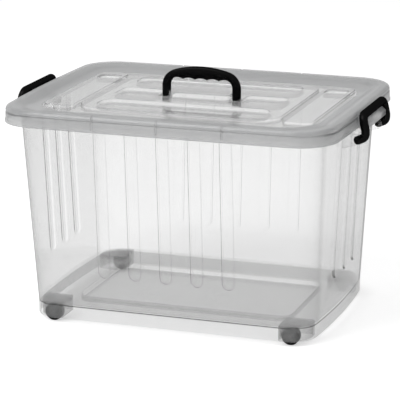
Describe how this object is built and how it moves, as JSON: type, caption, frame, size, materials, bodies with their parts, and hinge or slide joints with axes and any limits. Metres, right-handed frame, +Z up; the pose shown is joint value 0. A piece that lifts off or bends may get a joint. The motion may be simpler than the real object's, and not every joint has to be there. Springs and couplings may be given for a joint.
{
  "type": "rolling storage bin",
  "caption": "Clear lidded storage bin on small wheels, with a folding carrying handle and swinging end latches.",
  "frame": {"origin": "on the ground below the middle of the bin", "axes": "+X along the length to the right latch, -Y the long front side, +Z up"},
  "size_m": [0.647, 0.474, 0.435],
  "materials": {
    "tub_plastic": "clear moulded polypropylene, glossy, slightly smoky",
    "lid_plastic": "translucent moulded polypropylene, frosted round the rim and clearer in the middle",
    "black_plastic": "black moulded plastic, glossy",
    "wheel_plastic": "dark grey moulded plastic, matt",
    "axle_steel": "plain steel pin"
  },
  "bodies": {
    "tub": {"tub": "tub_plastic", "axle_front_left": "axle_steel", "axle_front_right": "axle_steel", "axle_rear_left": "axle_steel", "axle_rear_right": "axle_steel"},
    "lid": {"lid": "lid_plastic"},
    "lid_handle": {"lid_handle": "black_plastic"},
    "latch_left": {"latch_left": "black_plastic"},
    "latch_right": {"latch_right": "black_plastic"},
    "wheel_front_left": {"wheel_front_left": "wheel_plastic"},
    "wheel_front_right": {"wheel_front_right": "wheel_plastic"},
    "wheel_rear_left": {"wheel_rear_left": "wheel_plastic"},
    "wheel_rear_right": {"wheel_rear_right": "wheel_plastic"}
  },
  "joints": [
    {"name": "lid_lift", "type": "slide", "parent": "tub", "child": "lid", "axis": [0, 0, 1], "range_m": [0, 0.05]},
    {"name": "handle_fold", "type": "hinge", "parent": "lid", "child": "lid_handle", "pos_m": [0, 0, 0.3846], "axis": [1, 0, 0], "range_deg": [0, 76]},
    {"name": "latch_left_swing", "type": "hinge", "parent": "tub", "child": "latch_left", "pos_m": [-0.3035, 0, 0.341], "axis": [0, -1, 0], "range_deg": [0, 165]},
    {"name": "latch_right_swing", "type": "hinge", "parent": "tub", "child": "latch_right", "pos_m": [0.3035, 0, 0.341], "axis": [0, 1, 0], "range_deg": [0, 165]},
    {"name": "wheel_front_left_roll", "type": "hinge", "parent": "tub", "child": "wheel_front_left", "pos_m": [-0.217, -0.165, 0.016], "axis": [0, 1, 0], "continuous": true},
    {"name": "wheel_front_right_roll", "type": "hinge", "parent": "tub", "child": "wheel_front_right", "pos_m": [0.217, -0.165, 0.016], "axis": [0, 1, 0], "continuous": true},
    {"name": "wheel_rear_left_roll", "type": "hinge", "parent": "tub", "child": "wheel_rear_left", "pos_m": [-0.217, 0.165, 0.016], "axis": [0, 1, 0], "continuous": true},
    {"name": "wheel_rear_right_roll", "type": "hinge", "parent": "tub", "child": "wheel_rear_right", "pos_m": [0.217, 0.165, 0.016], "axis": [0, 1, 0], "continuous": true}
  ],
  "couplings": [
    {"joint": "latch_left_swing", "follows": "lid_lift", "rad_per_m": 57.5},
    {"joint": "latch_right_swing", "follows": "lid_lift", "rad_per_m": 57.5}
  ]
}
